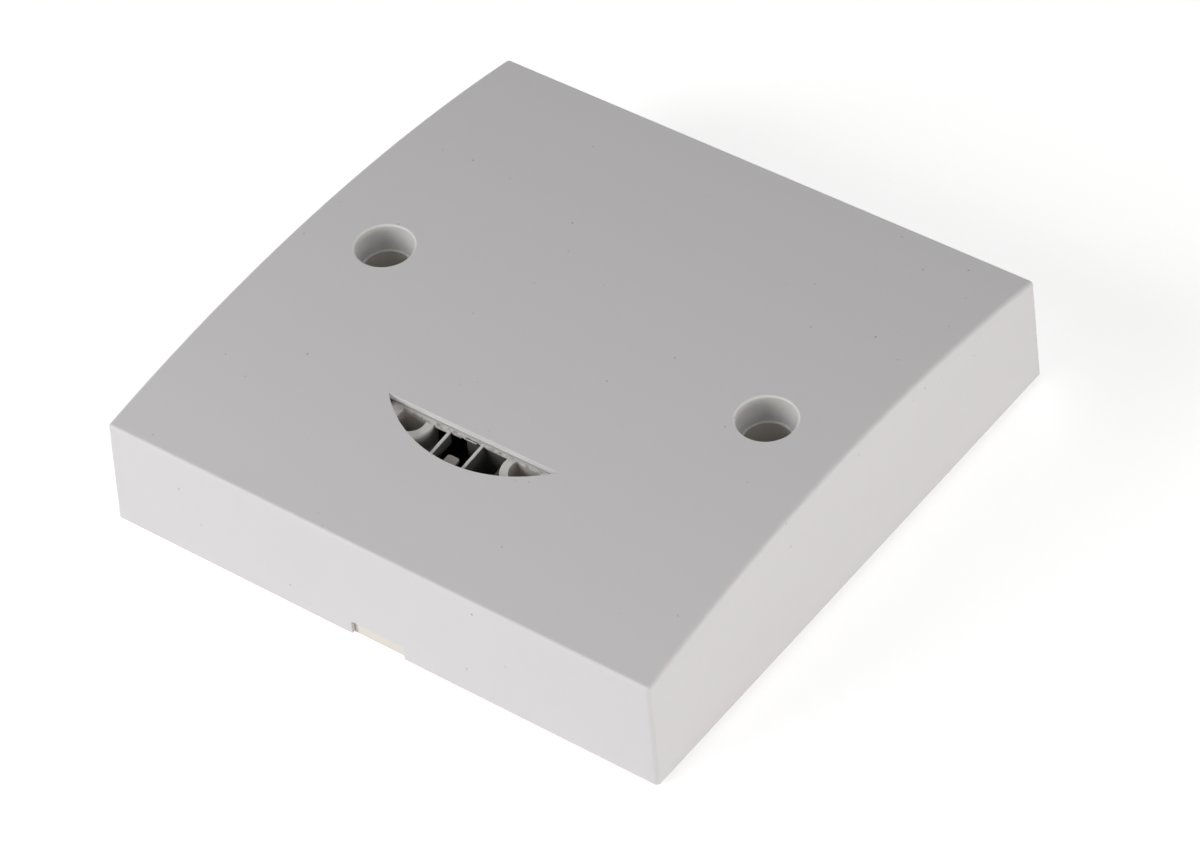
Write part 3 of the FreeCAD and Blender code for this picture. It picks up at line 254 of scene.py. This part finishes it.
def makeBoardSurface():
    # Circuit board: copper tracks under a lacquer, with small plated holes between them
    tree, given, out = newGroup(
        "boardSurface",
        [("Lacquer", "Color", (0.03, 0.2, 0.09, 1)), ("Track", "Color", (0.07, 0.34, 0.15, 1)),
         ("Pad", "Color", (0.72, 0.7, 0.66, 1)), ("Track Scale", "Float", 420.0),
         ("Pad Scale", "Float", 260.0), ("Pad Share", "Float", 0.3),
         ("Pad Size", "Float", 0.12), ("Gloss", "Float", 0.3)],
        [("Colour", "Color"), ("Roughness", "Float"), ("Normal", "Vector")])
    link = tree.links.new
    place = addNode(tree, "TexCoord", -900, -400).outputs["Object"]
    flat = {"voronoi_dimensions": "2D"}
    maze = addNode(tree, "TexVoronoi", -650, 200, {"Randomness": 0.85}, distance="CHEBYCHEV", **flat)
    dots = addNode(tree, "TexVoronoi", -650, -100, {"Randomness": 0.7}, **flat)
    for node, label in ((maze, "Track Scale"), (dots, "Pad Scale")):
        link(place, node.inputs["Vector"])
        link(given[label], node.inputs["Scale"])
    wave = addMath(tree, -450, 200, "PINGPONG", maze.outputs["Distance"], trackPitch)
    track = addRange(tree, -250, 200, wave, *trackLimits)
    near = addMath(tree, -450, -100, "LESS_THAN", dots.outputs["Distance"], given["Pad Size"])
    chance = addNode(tree, "SeparateColor", -450, -250)
    link(dots.outputs["Color"], chance.inputs[0])
    chosen = addMath(tree, -250, -250, "LESS_THAN", chance.outputs[0], given["Pad Share"])
    pad = addMath(tree, -50, -100, "MULTIPLY", near, chosen)
    laid = addMix(tree, 0, 200, track, given["Lacquer"], given["Track"])
    link(addMix(tree, 200, 200, pad, laid, given["Pad"]), out["Colour"])
    cloud = addNode(tree, "TexNoise", -50, -300, {"Scale": 900.0, "Detail": 3.0})
    link(place, cloud.inputs["Vector"])
    sheen = addMath(tree, 200, -200, "MULTIPLY_ADD", cloud.outputs["Fac"], lacquerCloud, given["Gloss"])
    link(sheen, out["Roughness"])
    raised = addMath(tree, 200, 0, "MAXIMUM", track, pad)
    bump = addNode(tree, "Bump", 450, -200, {"Strength": 0.4, "Distance": trackHeight})
    link(raised, bump.inputs["Height"])
    link(bump.outputs["Normal"], out["Normal"])
    return tree


def makeBandMask():
    # 1 where a value lies between two limits, with soft ends
    tree, given, out = newGroup(
        "bandMask",
        [("Value", "Float", 0.0), ("Low", "Float", 0.0), ("High", "Float", 1.0), ("Soft", "Float", bandSoft)],
        [("Mask", "Float")])
    over = addMath(tree, -600, 100, "SUBTRACT", given["Value"], given["Low"])
    under = addMath(tree, -600, -100, "SUBTRACT", given["High"], given["Value"])
    inside = addMath(tree, -400, 0, "MINIMUM", over, under)
    share = addMath(tree, -200, 0, "DIVIDE", inside, given["Soft"])
    limited = addMath(tree, 0, 0, "ADD", share, 0.5)
    limited.node.use_clamp = True
    tree.links.new(limited, out["Mask"])
    return tree


mouldedSurface = makeMouldedSurface()
metalSurface = makeMetalSurface()
boardSurface = makeBoardSurface()
bandMask = makeBandMask()
print("surface groups made")


def newMaterial(name):
    material = bpy.data.materials.new(name)
    material.use_nodes = True
    tree = material.node_tree
    shader = tree.nodes["Principled BSDF"]
    shader.location = (300, 0)
    tree.nodes["Material Output"].location = (650, 0)
    return material, tree, shader


def addGroup(tree, group, x, y, values):
    node = addNode(tree, "Group", x, y, node_tree=group)
    for name, value in values.items():
        node.inputs[name].default_value = value
    return node


def surfaceMaterial(name, group, look, metallic=0.0):
    # A material whose colour, roughness and normal come from one group with this piece's values
    material, tree, shader = newMaterial(name)
    surface = addGroup(tree, group, 0, 0, look)
    tree.links.new(surface.outputs["Colour"], shader.inputs["Base Color"])
    tree.links.new(surface.outputs["Roughness"], shader.inputs["Roughness"])
    tree.links.new(surface.outputs["Normal"], shader.inputs["Normal"])
    shader.inputs["Metallic"].default_value = metallic
    return material


def dress(material, *nodes):
    for node in nodes:
        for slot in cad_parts[node].material_slots:
            slot.material = material


def overlay(material, mask, colour, roughness=None, metallic=None):
    # Lays a second finish over a material where the mask is 1; the colour is a value or a socket
    tree = material.node_tree
    shader = tree.nodes["Principled BSDF"]
    for label, value in (("Base Color", colour), ("Roughness", roughness), ("Metallic", metallic)):
        if value is None:
            continue
        socket = shader.inputs[label]
        under = socket.links[0].from_socket if socket.links else None
        if label == "Base Color":
            result = addMix(tree, 150, 200, mask, under, value)
        else:
            node = addNode(tree, "Mix", 150, -100)
            tree.links.new(mask, node.inputs[0])
            if under:
                tree.links.new(under, node.inputs[2])
            else:
                node.inputs[2].default_value = socket.default_value
            node.inputs[3].default_value = value
            result = node.outputs[0]
        tree.links.new(result, socket)


def addBand(tree, value, low, high, soft=bandSoft):
    band = addGroup(tree, bandMask, -250, -400, {"Low": low, "High": high, "Soft": soft})
    tree.links.new(value, band.inputs["Value"])
    return band.outputs["Mask"]


def axes(tree):
    place = addNode(tree, "TexCoord", -650, -400)
    split = addNode(tree, "SeparateXYZ", -450, -400)
    tree.links.new(place.outputs["Object"], split.inputs[0])
    return split.outputs


# Floor and world

floor = {"halfSide": 3.0, "colour": (0.8, 0.8, 0.8, 1), "roughness": 0.9, "glow": 0.62, "ambient": 0.12}


def addFloor(settings):
    half = settings["halfSide"]
    mesh = bpy.data.meshes.new("studioFloor")
    corners = [(-half, -half, 0), (half, -half, 0), (half, half, 0), (-half, half, 0)]
    mesh.from_pydata(corners, [], [(0, 1, 2, 3)])
    piece = bpy.data.objects.new("studioFloor", mesh)
    scene.collection.objects.link(piece)
    material, tree, shader = newMaterial("studioFloorPaper")
    shader.inputs["Base Color"].default_value = settings["colour"]
    shader.inputs["Roughness"].default_value = settings["roughness"]
    shader.inputs["Specular IOR Level"].default_value = 0.0
    rays = addNode(tree, "LightPath", -400, -200)
    seen = addMath(tree, -200, -200, "MAXIMUM", rays.outputs["Is Camera Ray"], rays.outputs["Is Glossy Ray"])
    seen = addMath(tree, -50, -200, "MAXIMUM", seen, rays.outputs["Is Transmission Ray"])
    glow = addMath(tree, 100, -200, "MULTIPLY", seen, settings["glow"])
    shader.inputs["Emission Color"].default_value = (1, 1, 1, 1)
    tree.links.new(glow, shader.inputs["Emission Strength"])
    mesh.materials.append(material)


def lightWorld(settings):
    world = bpy.data.worlds.new("studioWorld")
    scene.world = world
    world.use_nodes = True
    tree = world.node_tree
    rays = addNode(tree, "LightPath", -600, 0)
    seen = addMath(tree, -400, 0, "MAXIMUM", rays.outputs["Is Camera Ray"], rays.outputs["Is Glossy Ray"])
    seen = addMath(tree, -250, 0, "MAXIMUM", seen, rays.outputs["Is Transmission Ray"])
    strength = addRange(tree, -100, 0, seen, 0.0, 1.0, settings["ambient"], 1.0)
    tree.links.new(strength, tree.nodes["Background"].inputs["Strength"])
    tree.nodes["Background"].inputs["Color"].default_value = (1, 1, 1, 1)


addFloor(floor)
lightWorld(floor)
print("camera, lamps and floor set")


# Front cover: smooth matt white moulding with sparse dark specks

coverLook = {
    "Colour": (0.746, 0.731, 0.741, 1),
    "Drift": 0.035,
    "Drift Scale": 45.0,
    "Speck Colour": (0.24, 0.235, 0.23, 1),
    "Speck Share": 0.08,
    "Speck Size": 0.14,
    "Speck Scale": 640.0,
    "Gloss": 0.52,
    "Gloss Drift": 0.08,
    "Grain Scale": 5000.0,
    "Grain Depth": 0.12,
}
wells = {
    "spacing": 0.0603,
    "mouth": 0.00405,
    "mouthTop": 0.0206,
    "shadeFoot": 0.018,
    # Painted shade for the upper walls of the cover's wells
    "paintedShade": (0.63, 0.615, 0.6, 1),
    "bore": 0.00325,
    "ledge": 0.0169,
    # Painted shade in the base's bores, and a painted highlight above the ledge height
    "boreShade": (0.7, 0.67, 0.635, 1),
    "ledgeHighlight": (0.95, 0.945, 0.935, 1),
}
seam = {
    "low": 0.00086,
    "high": 0.00101,
    "half": 0.0168,
    "rear": -0.0205,
    "front": -0.0283,
    "colour": (0.42, 0.4, 0.385, 1),
}
crownRadius = 0.2272


def addCrownDepth(tree, place):
    # How far a point is below the bowed face: the crown's radius less the distance from its axis
    rise = addMath(tree, -450, -1400, "SUBTRACT", place[2], cadBox[1][2] - crownRadius)
    return addMath(tree, 0, -1400, "SUBTRACT", crownRadius, addLength(tree, -450, -1550, place[1], rise))


def addWellDistance(tree, place):
    # How far a point is from the axis of the nearer well
    outward = addMath(tree, -450, -700, "ABSOLUTE", place[0])
    aside = addMath(tree, -300, -700, "SUBTRACT", outward, wells["spacing"] / 2)
    return addLength(tree, -300, -850, place[1], aside)


def addCoverFinish(node, look):
    # Painted shade on the upper wall of each well, under the clean bevelled mouth
    material = surfaceMaterial("coverPlastic", mouldedSurface, look)
    tree = material.node_tree
    place = axes(tree)
    inside = addMath(tree, 150, -800, "LESS_THAN", addWellDistance(tree, place), wells["mouth"])
    rising = addRange(tree, -150, -1050, place[2], wells["shadeFoot"], wells["mouthTop"])
    below = addMath(tree, -150, -1250, "LESS_THAN", place[2], wells["mouthTop"])
    shaded = addMath(tree, 150, -1050, "MULTIPLY", rising, below)
    overlay(material, addMath(tree, 300, -900, "MULTIPLY", inside, shaded), wells["paintedShade"])
    # A darker band in the seam at the foot of the window's walls
    foot = addBand(tree, addCrownDepth(tree, place), seam["low"], seam["high"])
    beside = addBand(tree, place[0], -seam["half"], seam["half"])
    within = addBand(tree, place[1], seam["front"], seam["rear"])
    near = addMath(tree, 150, -1200, "MULTIPLY", beside, within)
    overlay(material, addMath(tree, 300, -1200, "MULTIPLY", foot, near), seam["colour"])
    dress(material, node)


addCoverFinish("front_cover", coverLook)


# Base tray: cream moulding, a little more grained

baseLook = {
    "Colour": (0.81, 0.775, 0.725, 1),
    "Drift": 0.05,
    "Drift Scale": 60.0,
    "Speck Share": 0.06,
    "Gloss": 0.5,
    "Grain Scale": 3200.0,
    "Grain Depth": 0.25,
}


def addBaseFinish(node, look):
    # The screw bores get painted shade, and all of the tray above the ledge height gets a painted highlight
    material = surfaceMaterial("basePlastic", mouldedSurface, look)
    tree = material.node_tree
    place = axes(tree)
    inside = addMath(tree, 150, -800, "LESS_THAN", addWellDistance(tree, place), wells["bore"])
    low = addMath(tree, 0, -1000, "LESS_THAN", place[2], wells["ledge"])
    overlay(material, addMath(tree, 300, -850, "MULTIPLY", inside, low), wells["boreShade"])
    high = addMath(tree, 0, -1150, "SUBTRACT", 1.0, low)
    overlay(material, high, wells["ledgeHighlight"])
    dress(material, node)


addBaseFinish("base_plate", baseLook)


# Adjuster bezel: natural, slightly warm moulding, with painted shade making it greyer below the rim

bezelLook = {
    "plastic": {
        "Colour": (0.78, 0.765, 0.745, 1),
        "Drift": 0.04,
        "Drift Scale": 120.0,
        "Speck Share": 0.03,
        "Gloss": 0.42,
        "Grain Scale": 5200.0,
        "Grain Depth": 0.1,
    },
    # Painted shade for the tubes and the darker tongue below the rim
    "tubeShade": (0.57, 0.54, 0.51, 1),
    "tongueShade": (0.36, 0.34, 0.32, 1),
    "tongueHalf": 0.004,
    "rimDepth": 0.0014,
    "shadeDepth": 0.00153,
    "rimPatch": (0.46, 0.445, 0.43, 1),
    "rimPatchLow": -0.0215,
    "rimPatchHigh": -0.0209,
    "rimPatchSoft": 0.0002,
    "rimPatchScale": 1150.0,
    "rimPatchLimits": (0.47, 0.62),
    "tipShadow": (0.13, 0.11, 0.095, 1),
    "tipFrom": -0.0122,
    "tipTo": -0.0129,
}


def addBezelFinish(node, look):
    material = surfaceMaterial("bezelPlastic", mouldedSurface, look["plastic"])
    tree = material.node_tree
    place = axes(tree)
    # Darker patches along the inner edge of the rim, and a painted shadow at its left tip
    spot = addNode(tree, "TexCoord", -650, -600)
    cloud = addNode(tree, "TexNoise", -450, -600, {"Scale": look["rimPatchScale"], "Detail": 3.0})
    tree.links.new(spot.outputs["Object"], cloud.inputs["Vector"])
    patches = addRange(tree, -250, -600, cloud.outputs["Fac"], *look["rimPatchLimits"])
    strip = addBand(tree, place[1], look["rimPatchLow"], look["rimPatchHigh"], look["rimPatchSoft"])
    overlay(material, addMath(tree, 0, -600, "MULTIPLY", patches, strip), look["rimPatch"])
    # Painted shadow on everything left of the tip limit
    overlay(material, addRange(tree, 0, -700, place[0], look["tipFrom"], look["tipTo"]), look["tipShadow"])
    # Below the rim the tubes get a grey painted shade, and the tongue a darker one
    aside = addMath(tree, -150, -850, "ABSOLUTE", place[0])
    tongue = addMath(tree, 0, -850, "LESS_THAN", aside, look["tongueHalf"])
    paintedShade = addMix(tree, 50, -950, tongue, look["tubeShade"], look["tongueShade"])
    depth = addCrownDepth(tree, place)
    low = addRange(tree, 150, -700, depth, look["rimDepth"], look["shadeDepth"])
    overlay(material, low, paintedShade)
    dress(material, node)


addBezelFinish("adjuster_bezel", bezelLook)


# Light shroud: soot-black moulding

shroudLook = {
    "Colour": (0.085, 0.084, 0.08, 1),
    "Drift": 0.2,
    "Drift Scale": 300.0,
    "Speck Share": 0.0,
    "Gloss": 0.6,
    "Grain Scale": 3000.0,
    "Grain Depth": 0.3,
}
dress(surfaceMaterial("shroudPlastic", mouldedSurface, shroudLook), "light_shroud")
print("housing dressed")


# Circuit boards

mainBoardLook = {"Track Scale": 420.0, "Pad Scale": 260.0, "Pad Share": 0.35, "Gloss": 0.28}
moduleBoardLook = {
    "Lacquer": (0.05, 0.24, 0.1, 1),
    "Track": (0.09, 0.37, 0.17, 1),
    "Track Scale": 560.0,
    "Pad Scale": 420.0,
    "Pad Share": 0.25,
    "Gloss": 0.25,
}
dress(surfaceMaterial("mainBoard", boardSurface, mainBoardLook), "main_board")
dress(surfaceMaterial("moduleBoard", boardSurface, moduleBoardLook), "microwave_board")

# Metal pieces

screwLook = {
    "Colour": (0.66, 0.67, 0.69, 1),
    "Tarnish": (0.5, 0.47, 0.36, 1),
    "Tarnish Share": 0.35,
    "Streaks": (3000, 3000, 12000),
    "Gloss": 0.3,
}
clampLook = {
    "Colour": (0.76, 0.58, 0.28, 1),
    "Tarnish": (0.42, 0.27, 0.12, 1),
    "Tarnish Share": 0.45,
    "Streaks": (900, 9000, 9000),
    "Gloss": 0.28,
}
pinLook = {
    "Colour": (0.86, 0.68, 0.3, 1),
    "Tarnish": (0.6, 0.42, 0.18, 1),
    "Tarnish Share": 0.2,
    "Streaks": (9000, 9000, 800),
    "Gloss": 0.2,
}
patchLook = {
    "Colour": (0.86, 0.66, 0.32, 1),
    "Tarnish": (0.62, 0.4, 0.2, 1),
    "Tarnish Share": 0.3,
    "Streaks": (2500, 2500, 2500),
    "Gloss": 0.26,
}
canLook = {
    "Colour": (0.74, 0.74, 0.75, 1),
    "Tarnish": (0.5, 0.5, 0.49, 1),
    "Tarnish Share": 0.3,
    "Streaks": (500, 9000, 9000),
    "Streak Depth": 0.25,
    "Gloss": 0.3,
}
metalPieces = {
    "platedScrews": (screwLook, ("board_screws", "terminal_screws")),
    "clampBrass": (clampLook, ("terminal_clamps",)),
    "pinPlating": (pinLook, ("module_pins",)),
    "patchPlating": (patchLook, ("antenna_patches",)),
    "canTin": (canLook, ("shield_can",)),
}
for name, (look, nodes) in metalPieces.items():
    dress(surfaceMaterial(name, metalSurface, look, metallic=1.0), *nodes)
print("boards and metal dressed")


# Moulded components

trimmerLook = {"Colour": (0.035, 0.035, 0.04, 1), "Drift": 0.1, "Speck Share": 0.0, "Gloss": 0.4,
               "Grain Scale": 4000.0, "Grain Depth": 0.2}
rotorLook = {"Colour": (0.78, 0.77, 0.72, 1), "Drift": 0.06, "Speck Share": 0.0, "Gloss": 0.4,
             "Grain Scale": 5000.0, "Grain Depth": 0.15}
componentLooks = {
    "terminal_block": {"Colour": (0.02, 0.12, 0.34, 1), "Drift": 0.15, "Speck Share": 0.0, "Gloss": 0.42,
                       "Grain Scale": 3500.0, "Grain Depth": 0.2},
    "relay": {"Colour": (0.03, 0.031, 0.034, 1), "Drift": 0.2, "Speck Share": 0.0, "Gloss": 0.36,
              "Grain Scale": 4200.0, "Grain Depth": 0.3},
    "film_capacitor": {"Colour": (0.62, 0.42, 0.03, 1), "Drift": 0.1, "Speck Share": 0.02, "Gloss": 0.34,
                       "Grain Scale": 2800.0, "Grain Depth": 0.18},
    "controller_chip": {"Colour": (0.03, 0.03, 0.032, 1), "Drift": 0.25, "Speck Share": 0.0, "Gloss": 0.55,
                        "Grain Scale": 9000.0, "Grain Depth": 0.4},
    "bridge_rectifier": {"Colour": (0.026, 0.026, 0.028, 1), "Drift": 0.25, "Speck Share": 0.0, "Gloss": 0.5,
                         "Grain Scale": 8000.0, "Grain Depth": 0.4},
    "regulator_chip": {"Colour": (0.032, 0.031, 0.031, 1), "Drift": 0.25, "Speck Share": 0.0, "Gloss": 0.58,
                       "Grain Scale": 9500.0, "Grain Depth": 0.4},
    "chip_resistors": {"Colour": (0.035, 0.034, 0.036, 1), "Drift": 0.2, "Speck Share": 0.0, "Gloss": 0.4,
                       "Grain Scale": 12000.0, "Grain Depth": 0.2},
    "varistor": {"Colour": (0.03, 0.13, 0.42, 1), "Drift": 0.12, "Drift Scale": 200.0, "Speck Share": 0.0,
                 "Gloss": 0.22, "Grain Scale": 700.0, "Grain Depth": 0.5},
    "indicator_led": {"Colour": (0.6, 0.03, 0.02, 1), "Drift": 0.08, "Speck Share": 0.0, "Gloss": 0.12,
                      "Grain Scale": 1500.0, "Grain Depth": 0.05},
    "light_sensor": {"Colour": (0.72, 0.74, 0.72, 1), "Drift": 0.06, "Speck Share": 0.0, "Gloss": 0.1,
                     "Grain Scale": 1500.0, "Grain Depth": 0.05},
    "sensitivity_trimmer": trimmerLook,
    "time_trimmer": trimmerLook,
    "sensitivity_rotor": rotorLook,
    "time_rotor": rotorLook,
}
for node, look in componentLooks.items():
    dress(surfaceMaterial(node + "Finish", mouldedSurface, look), node)


# Electrolytic cans: a dark sleeve with a pale stripe along one side and a bare aluminium end

def centreOf(node):
    low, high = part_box(node)
    return [(low[axis] + high[axis]) / 2 for axis in range(3)], low, high


def addSleevedCan(node, look, along, across, facing):
    # along and across are axis numbers; facing is the axis and the sense in which the stripe looks
    middle, low, high = centreOf(node)
    material = surfaceMaterial(node + "Sleeve", mouldedSurface, look["sleeve"])
    tree = material.node_tree
    place = axes(tree)
    half = look["stripeHalf"]
    side = addBand(tree, place[across], middle[across] - half, middle[across] + half)
    axis, sense = facing
    forward = addMath(tree, -650, -600, "MULTIPLY", place[axis], sense)
    front = addMath(tree, -450, -600, "GREATER_THAN", forward, middle[axis] * sense)
    overlay(material, addMath(tree, -50, -500, "MULTIPLY", side, front), look["stripe"])
    third = 3 - along - across
    away = [addMath(tree, -450, -800 - 150 * number, "SUBTRACT", place[axis], middle[axis])
            for number, axis in enumerate((across, third))]
    radius = addLength(tree, -300, -900, away[1], away[0])
    inside = addMath(tree, 50, -900, "LESS_THAN", radius, look["bareRadius"])
    end = addMath(tree, 50, -1050, "GREATER_THAN", place[along], high[along] - look["endDepth"])
    bare = addMath(tree, 200, -950, "MULTIPLY", inside, end)
    overlay(material, bare, look["bare"], look["bareRoughness"], look["bareMetallic"])
    dress(material, node)


sleevedCan = {
    "sleeve": {"Colour": (0.015, 0.02, 0.045, 1), "Drift": 0.1, "Speck Share": 0.0, "Gloss": 0.25,
               "Grain Scale": 1200.0, "Grain Depth": 0.3},
    "stripe": (0.5, 0.52, 0.55, 1),
    "bare": (0.75, 0.76, 0.77, 1),
    "bareRoughness": 0.32,
    "bareMetallic": 1.0,
    "endDepth": 0.0002,
}
bulkCanLook = dict(sleevedCan, stripeHalf=0.0013, bareRadius=0.0033)
outputCanLook = dict(sleevedCan, stripeHalf=0.0011, bareRadius=0.0025)
addSleevedCan("bulk_capacitor", bulkCanLook, 0, 1, (2, 1.0))
addSleevedCan("output_capacitor", outputCanLook, 2, 0, (1, -1.0))


# Fuse: a glass tube between two plated caps

fuseLook = {
    "glass": {"Colour": (0.66, 0.68, 0.68, 1), "Drift": 0.1, "Speck Share": 0.0, "Gloss": 0.12,
              "Gloss Drift": 0.05, "Grain Scale": 800.0, "Grain Depth": 0.05},
    "cap": (0.7, 0.69, 0.66, 1),
    "capLength": 0.0026,
    "capRoughness": 0.3,
    "capMetallic": 1.0,
}


def addFuseFinish(node, look):
    low, high = centreOf(node)[1:]
    material = surfaceMaterial("fuseGlass", mouldedSurface, look["glass"])
    tree = material.node_tree
    tube = addBand(tree, axes(tree)[0], low[0] + look["capLength"], high[0] - look["capLength"])
    caps = addMath(tree, -50, -400, "SUBTRACT", 1.0, tube)
    overlay(material, caps, look["cap"], look["capRoughness"], look["capMetallic"])
    dress(material, node)


addFuseFinish("fuse", fuseLook)


# Choke: a ferrite drum with lacquered copper wire between its flanges

chokeLook = {
    "ferrite": {"Colour": (0.07, 0.06, 0.055, 1), "Drift": 0.2, "Speck Share": 0.05, "Gloss": 0.5},
    "copper": (0.56, 0.21, 0.07, 1),
    "copperRoughness": 0.3,
    "copperMetallic": 0.7,
    "flange": 0.0012,
}


def addChokeFinish(node, look):
    low, high = centreOf(node)[1:]
    material = surfaceMaterial("chokeFerrite", mouldedSurface, look["ferrite"])
    tree = material.node_tree
    winding = addBand(tree, axes(tree)[2], low[2] + look["flange"], high[2] - look["flange"])
    overlay(material, winding, look["copper"], look["copperRoughness"], look["copperMetallic"])
    dress(material, node)


addChokeFinish("choke", chokeLook)
print("components dressed")
